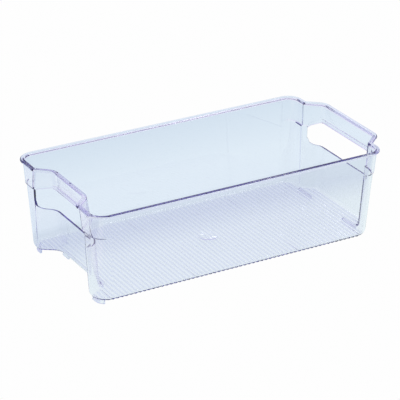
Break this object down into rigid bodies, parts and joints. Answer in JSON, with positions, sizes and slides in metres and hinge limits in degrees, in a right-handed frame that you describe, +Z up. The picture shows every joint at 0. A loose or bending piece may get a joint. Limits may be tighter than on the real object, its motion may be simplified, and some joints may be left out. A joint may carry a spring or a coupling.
{
  "type": "open storage bin",
  "caption": "Long clear plastic bin with tapered walls, a turned-down rim and hand holes; one end is set in, the other stands out.",
  "frame": {"origin": "middle of the bin's overall box in plan, on the plane that its feet stand on", "axes": "+X along the bin towards the end that stands out, +Y across it, +Z up"},
  "size_m": [0.316, 0.16, 0.091],
  "materials": {
    "clear_plastic": "clear polished PET-like plastic with a faint cool tint"
  },
  "bodies": {
    "root": {"back_rim": "clear_plastic", "back_wall": "clear_plastic", "collar_back_left": "clear_plastic", "collar_back_right": "clear_plastic", "collar_front_left": "clear_plastic", "collar_front_right": "clear_plastic", "corner_post_back_left": "clear_plastic", "corner_post_back_right": "clear_plastic", "corner_post_front_left": "clear_plastic", "corner_post_front_right": "clear_plastic", "end_feet": "clear_plastic", "floor_panel": "clear_plastic", "floor_ribs": "clear_plastic", "front_rim": "clear_plastic", "front_wall": "clear_plastic", "gate_mark": "clear_plastic", "left_end_panel": "clear_plastic", "left_handle_band": "clear_plastic", "left_handle_bead": "clear_plastic", "left_rim": "clear_plastic", "lobe_feet": "clear_plastic", "right_end_panel": "clear_plastic", "right_handle_band": "clear_plastic", "right_handle_bead": "clear_plastic", "right_rim": "clear_plastic"}
  },
  "joints": []
}
